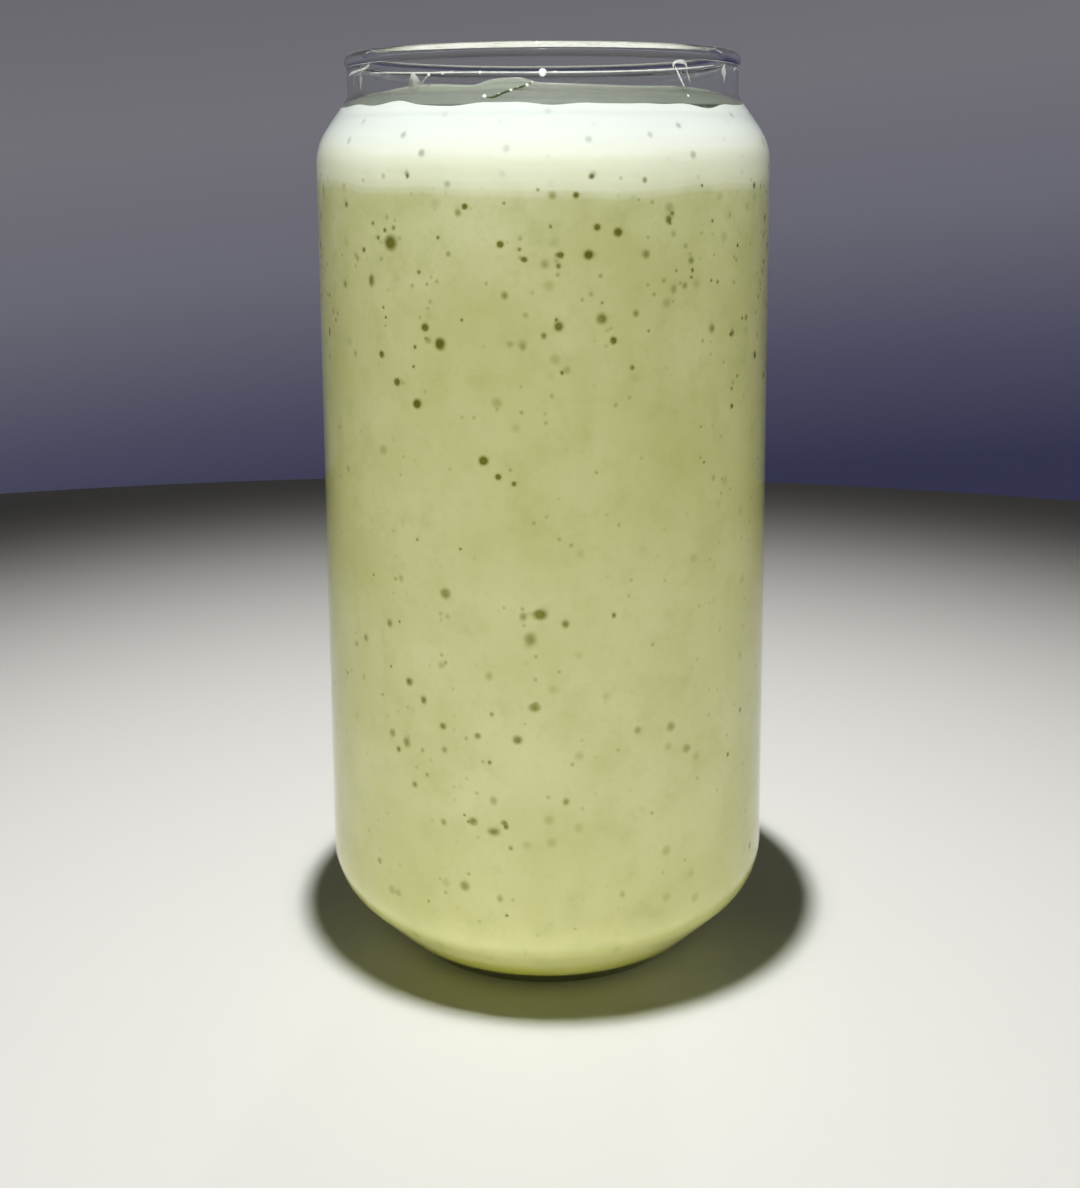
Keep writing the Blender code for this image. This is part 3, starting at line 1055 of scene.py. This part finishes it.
# Name, kind and sinking into the wall of each run, then its points along the glass: side angle in degrees,
# height and half thickness in mm.
RUNS = [
    # The line along the back of the lip is a painted highlight, not a run.
    ("back_lip_painted_highlight", "pale_run_and_painted_highlight", RUN_SUNK, [
        (263.0, 149.4, 0.10), (246.0, 149.9, 0.13), (228.0, 150.3, 0.14), (205.0, 150.7, 0.13),
        (180.0, 150.75, 0.15), (160.0, 150.7, 0.12), (135.0, 150.6, 0.14), (112.0, 150.5, 0.12),
        (98.0, 150.4, 0.08),
    ]),
    ("loop_top", "pale_run_and_painted_highlight", RUN_SUNK, [
        (39.4, 148.1, 0.10), (39.5, 149.0, 0.21), (41.0, 149.35, 0.26), (43.0, 149.35, 0.27),
        (44.4, 149.0, 0.23), (44.8, 148.1, 0.12),
    ]),
    ("loop_left_leg", "wet_glint", RUN_SUNK, [
        (39.5, 149.0, 0.08), (41.0, 147.8, 0.14), (42.6, 146.5, 0.12), (43.6, 145.6, 0.08),
        (44.2, 144.9, 0.05),
    ]),
    ("loop_right_leg", "wet_blob", RUN_SUNK, [
        (44.7, 148.5, 0.12), (45.1, 147.6, 0.19), (45.8, 146.8, 0.16), (46.3, 146.0, 0.07),
    ]),
    ("beaded_trickle", "wet_trickle", TRICKLE_SUNK, [
        (-15.9, 143.5, 0.14), (-13.8, 143.4, 0.30), (-11.8, 143.8, 0.20), (-9.8, 144.4, 0.25),
        (-8.4, 144.7, 0.15), (-6.6, 145.1, 0.28), (-5.2, 145.4, 0.18), (-3.8, 145.8, 0.25),
        (-2.6, 146.1, 0.09),
    ]),
    ("blob_streak", "wet_blob", RUN_SUNK, [
        (-37.8, 145.3, 0.14), (-36.2, 146.0, 0.18), (-34.8, 146.8, 0.16), (-33.6, 147.4, 0.19),
        (-33.0, 147.5, 0.10),
    ]),
    ("left_hook", "pale_run_and_painted_highlight", RUN_SUNK, [
        (-59.5, 150.1, 0.12), (-60.5, 149.4, 0.20), (-64.0, 149.0, 0.17), (-72.0, 148.7, 0.23),
        (-79.0, 148.2, 0.18), (-80.0, 147.0, 0.09),
    ]),
    ("left_drip", "pale_run_and_painted_highlight", RUN_SUNK, [
        (-70.0, 148.8, 0.08), (-71.5, 147.8, 0.17), (-71.0, 146.6, 0.13), (-72.5, 145.4, 0.06),
    ]),
    ("right_hook", "pale_run_and_painted_highlight", RUN_SUNK, [
        (84.0, 148.8, 0.09), (78.0, 149.3, 0.20), (74.0, 148.8, 0.21), (72.5, 147.4, 0.10),
    ]),
    ("right_drip", "pale_run_and_painted_highlight", RUN_SUNK, [
        (66.0, 149.6, 0.08), (65.0, 148.7, 0.18), (65.8, 147.6, 0.13), (65.2, 146.4, 0.07),
    ]),
]
# Side angle in degrees, height and half width in mm of the drops, which are painted near white as painted
# glints.
DROPS = [
    (-15.8, 143.6, 0.34), (-11.8, 143.95, 0.19), (-8.6, 144.7, 0.26), (-6.7, 145.2, 0.18),
    (-4.2, 145.6, 0.30), (-2.8, 146.1, 0.15), (44.1, 143.6, 0.26), (180.0, 150.75, 0.80),
    (175.5, 150.8, 0.26), (203.0, 150.7, 0.30), (214.0, 150.6, 0.22), (218.0, 150.4, 0.30),
    (150.0, 150.7, 0.16), (-33.2, 147.5, 0.24), (0.4, 151.5, 0.16),
]
DROP_FLATNESS = 0.6
# Outline of the pale blob: side angle in degrees and height in mm.
BLOB_OUTLINE = [
    (-39.8, 147.3), (-38.9, 147.9), (-37.8, 147.6), (-36.6, 146.9), (-36.1, 146.3),
    (-36.9, 145.7), (-37.9, 145.0), (-39.0, 145.5), (-40.2, 145.8), (-40.3, 146.5),
]
BLOB_THICK = 0.00016
BLOB_SUNK = 0.00012
# How far out from the blob's middle each ring of it lies, and how high above the glass.
BLOB_RINGS = [(1.0, -BLOB_SUNK), (1.0, 0.0), (0.8, 0.6 * BLOB_THICK), (0.45, BLOB_THICK)]
LEAST_PATH_STEPS = 3


def inner_place(degrees, height):
    """Place on the inside of the glass, at a side angle in degrees and a height in metres."""
    angle = math.radians(degrees)
    place, outward = wall_place(inner_wall, angle, height)
    return place, -outward


def smooth_path(points, step_degrees):
    """The points of a run with points between them, on a smooth curve through them all."""
    path = []
    for index in range(len(points) - 1):
        p0 = Vector(points[max(0, index - 1)])
        p1 = Vector(points[index])
        p2 = Vector(points[index + 1])
        p3 = Vector(points[min(len(points) - 1, index + 2)])
        steps = max(LEAST_PATH_STEPS, round(abs(p2.x - p1.x) / step_degrees))
        for step in range(steps):
            t = step / steps
            bend = (2 * p0 - 5 * p1 + 4 * p2 - p3) * t ** 2
            twist = (3 * p1 - p0 - 3 * p2 + p3) * t ** 3
            path.append(0.5 * (2 * p1 + (p2 - p0) * t + bend + twist))
    path.append(Vector(points[-1]))
    return path


def run_mesh(name, path, sunk):
    """A closed thin tube along (degrees, mm, half thickness in mm) points on the glass, partly sunk in it."""
    verts = []
    faces = []
    centres = []
    for degrees, height, thick in path:
        place, inward = inner_place(degrees, height * MM)
        centres.append((place + inward * thick * MM * (1 - sunk), inward, thick * MM))
    last = len(centres) - 1
    for index, (centre, inward, thick) in enumerate(centres):
        along = (centres[min(index + 1, last)][0] - centres[max(index - 1, 0)][0]).normalized()
        across = along.cross(inward).normalized()
        from_end = min(1.0, (RUN_END_LEAST + min(index, last - index)) / RUN_END_RINGS)
        ends = math.sin(math.pi * from_end / 2)
        wobble = 1 + RUN_WOBBLE * noise.noise(centre / RUN_WOBBLE_SPACING)
        for step in range(RUN_SIDES):
            angle = math.tau * step / RUN_SIDES
            offset = (across * math.cos(angle) + inward * math.sin(angle)) * thick * ends * wobble
            verts.append(centre + offset)
    for ring in range(last):
        faces += band(ring * RUN_SIDES, (ring + 1) * RUN_SIDES, RUN_SIDES)
    faces.append(tuple(reversed(range(RUN_SIDES))))
    faces.append(tuple(range(len(verts) - RUN_SIDES, len(verts))))
    return faced_outwards(smooth_mesh(name, verts, faces))


def faced_outwards(mesh):
    """A closed mesh with its faces turned outwards."""
    work = bmesh.new()
    work.from_mesh(mesh)
    bmesh.ops.recalc_face_normals(work, faces=work.faces)
    work.to_mesh(mesh)
    work.free()
    return mesh


def wet_material(name, colour, least_cover, most_cover):
    """Wet and glossy, half see-through, thicker in places."""
    material, tree = new_material(name)
    patches = noise_pattern(tree, *WET_PATCHES)
    cover = ranged(tree, patches, *WET_PATCH_RANGE, least_cover, most_cover)
    surface(tree, {"Base Color": colour, "Roughness": WET_ROUGHNESS, "Alpha": cover})
    return material


def blob_mesh(name, outline):
    """A closed low mound on the inside of the glass, over a smooth outline of (degrees, mm) points."""
    edge = smooth_path(outline + [outline[0]], RUN_STEP_DEGREES)[:-1]
    middle = sum(edge, Vector((0.0, 0.0))) / len(edge)
    verts = []
    for share, rise in BLOB_RINGS:
        for point in edge:
            degrees, height = middle + (point - middle) * share
            place, inward = inner_place(degrees, height * MM)
            verts.append(place + inward * rise)
    count = len(edge)
    last = len(verts) - count
    faces = [tuple(range(count)), tuple(reversed(range(last, last + count)))]
    for low in range(0, last, count):
        faces += band(low, low + count, count)
    return faced_outwards(smooth_mesh(name, verts, faces))


wet = {kind: wet_material(kind, *values) for kind, values in WET_KINDS.items()}

for name, kind, sunk, points in RUNS:
    run = add_piece(name, run_mesh(name, smooth_path(points, RUN_STEP_DEGREES), sunk), wet[kind])
    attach(run, "root")

# The drops carry painted glints.
drop_places = []
for degrees, height, half_width in DROPS:
    place, inward = inner_place(degrees, height * MM)
    size = half_width * MM
    drop_places.append((place, inward, (size, size, size * DROP_FLATNESS), 0.0))
drops = blister_piece("drops_with_painted_glint", drop_places, BUBBLE_SIDES, BUBBLE_RINGS, wet["wet_glint"])
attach(drops, "root")

blob = add_piece("pale_blob", blob_mesh("pale_blob", BLOB_OUTLINE), wet["wet_blob"])
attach(blob, "root")


# Floor and light
# A plain pale round floor under one lamp overhead with a soft-edged cone, a little to the front. Weaker
# lamps stand low and far off in front, at the left, at the right and at the back, in a plain dim room.
FLOOR_RADIUS = 0.615
FLOOR_MIDDLE = Vector((-0.04, -0.243, 0.0))
FLOOR_STEPS = 128
FLOOR_COLOUR = (0.80, 0.785, 0.75, 1.0)
FLOOR_ROUGHNESS = 0.6
KEY_PLACE = Vector((-0.007, -0.030, 0.57))
KEY_RADIUS = 0.008
KEY_WATTS = 12.3
KEY_CONE = math.radians(71.5)
KEY_SOFT_EDGE = 1.0
# Place and watts of each weaker lamp.
FILLS = {
    "fill_lamp": ((0.22, -2.5, 0.055), 47.5),
    "left_fill_lamp": ((-2.15, -1.25, 0.055), 17.5),
    "right_fill_lamp": ((2.3, -0.95, 0.055), 5.0),
    "back_fill_lamp": ((0.5, 2.5, 0.22), 22.0),
}
FILL_SIZE = 0.1
ROOM_LIGHT_SHARE = 0.08
FILL_AIM = Vector((0.0, 0.0, 0.08))
ROOM_LOW_END = -0.25
ROOM_HIGH_END = 0.75
ROOM_SIDE_LEAN = -0.10
# Colour of the room at shares of the way from its low end to its high end.
ROOM_SHADES = [
    (0.03, (0.066, 0.066, 0.115, 1.0)),
    (0.09, (0.104, 0.104, 0.150, 1.0)),
    (0.19, (0.175, 0.175, 0.206, 1.0)),
    (0.29, (0.203, 0.199, 0.218, 1.0)),
    (0.45, (0.168, 0.165, 0.176, 1.0)),
    (1.00, (0.050, 0.050, 0.053, 1.0)),
]

floor_verts = [FLOOR_MIDDLE]
for step in range(FLOOR_STEPS):
    angle = math.tau * step / FLOOR_STEPS
    floor_verts.append(FLOOR_MIDDLE + Vector((math.cos(angle), math.sin(angle), 0.0)) * FLOOR_RADIUS)
floor_faces = [(0, 1 + step, 1 + (step + 1) % FLOOR_STEPS) for step in range(FLOOR_STEPS)]
floor_material, floor_tree = new_material("pale_floor")
surface(floor_tree, {"Base Color": FLOOR_COLOUR, "Roughness": FLOOR_ROUGHNESS})
floor = add_piece("floor", smooth_mesh("floor", floor_verts, floor_faces), floor_material)

key_data = bpy.data.lights.new("key_lamp", "SPOT")
key_data.energy = KEY_WATTS
key_data.shadow_soft_size = KEY_RADIUS
key_data.spot_size = KEY_CONE
key_data.spot_blend = KEY_SOFT_EDGE
key = bpy.data.objects.new("key_lamp", key_data)
key.location = KEY_PLACE
bpy.context.scene.collection.objects.link(key)

# Soft lamps, aimed at the drink and not themselves seen in the glass
for name, (place, watts) in FILLS.items():
    fill_data = bpy.data.lights.new(name, "AREA")
    fill_data.shape = "DISK"
    fill_data.size = FILL_SIZE
    fill_data.energy = watts
    fill = bpy.data.objects.new(name, fill_data)
    fill.location = place
    fill.rotation_euler = (FILL_AIM - Vector(place)).to_track_quat("-Z", "Y").to_euler()
    fill.visible_camera = False
    fill.visible_glossy = False
    fill.visible_transmission = False
    bpy.context.scene.collection.objects.link(fill)

room = bpy.data.worlds.new("room")
room.use_nodes = True
room_tree = room.node_tree
direction = room_tree.nodes.new("ShaderNodeTexCoord").outputs["Generated"]
lean = (ROOM_SIDE_LEAN, 0.0, 1.0)
upness = add_node(room_tree, "ShaderNodeVectorMath", {0: direction, 1: lean}, operation="DOT_PRODUCT")
share = ranged(room_tree, upness.outputs["Value"], ROOM_LOW_END, ROOM_HIGH_END)
shade = add_node(room_tree, "ShaderNodeValToRGB", {"Fac": share})
stops = shade.color_ramp.elements
stops[0].position, stops[0].color = ROOM_SHADES[0]
stops[1].position, stops[1].color = ROOM_SHADES[-1]
for position, colour in ROOM_SHADES[1:-1]:
    stops.new(position).color = colour
ray = room_tree.nodes.new("ShaderNodeLightPath")
strength = ranged(room_tree, ray.outputs["Is Diffuse Ray"], 0.0, 1.0, 1.0, ROOM_LIGHT_SHARE)
backdrop = room_tree.nodes["Background"]
room_tree.links.new(shade.outputs["Color"], backdrop.inputs["Color"])
room_tree.links.new(strength, backdrop.inputs["Strength"])
bpy.context.scene.world = room

# A little of a hand camera's contrast: darks go darker, middle tones and lights stay.
CONTRAST_CURVE = [(0.03, 0.012), (0.08, 0.045), (0.16, 0.122), (0.30, 0.282), (0.50, 0.50)]
ALL_COLOURS_CURVE = 3
view = bpy.context.scene.view_settings
view.view_transform = "Standard"
view.use_curve_mapping = True
tone_curve = view.curve_mapping.curves[ALL_COLOURS_CURVE]
for before, after in CONTRAST_CURVE:
    tone_curve.points.new(before, after)
view.curve_mapping.update()
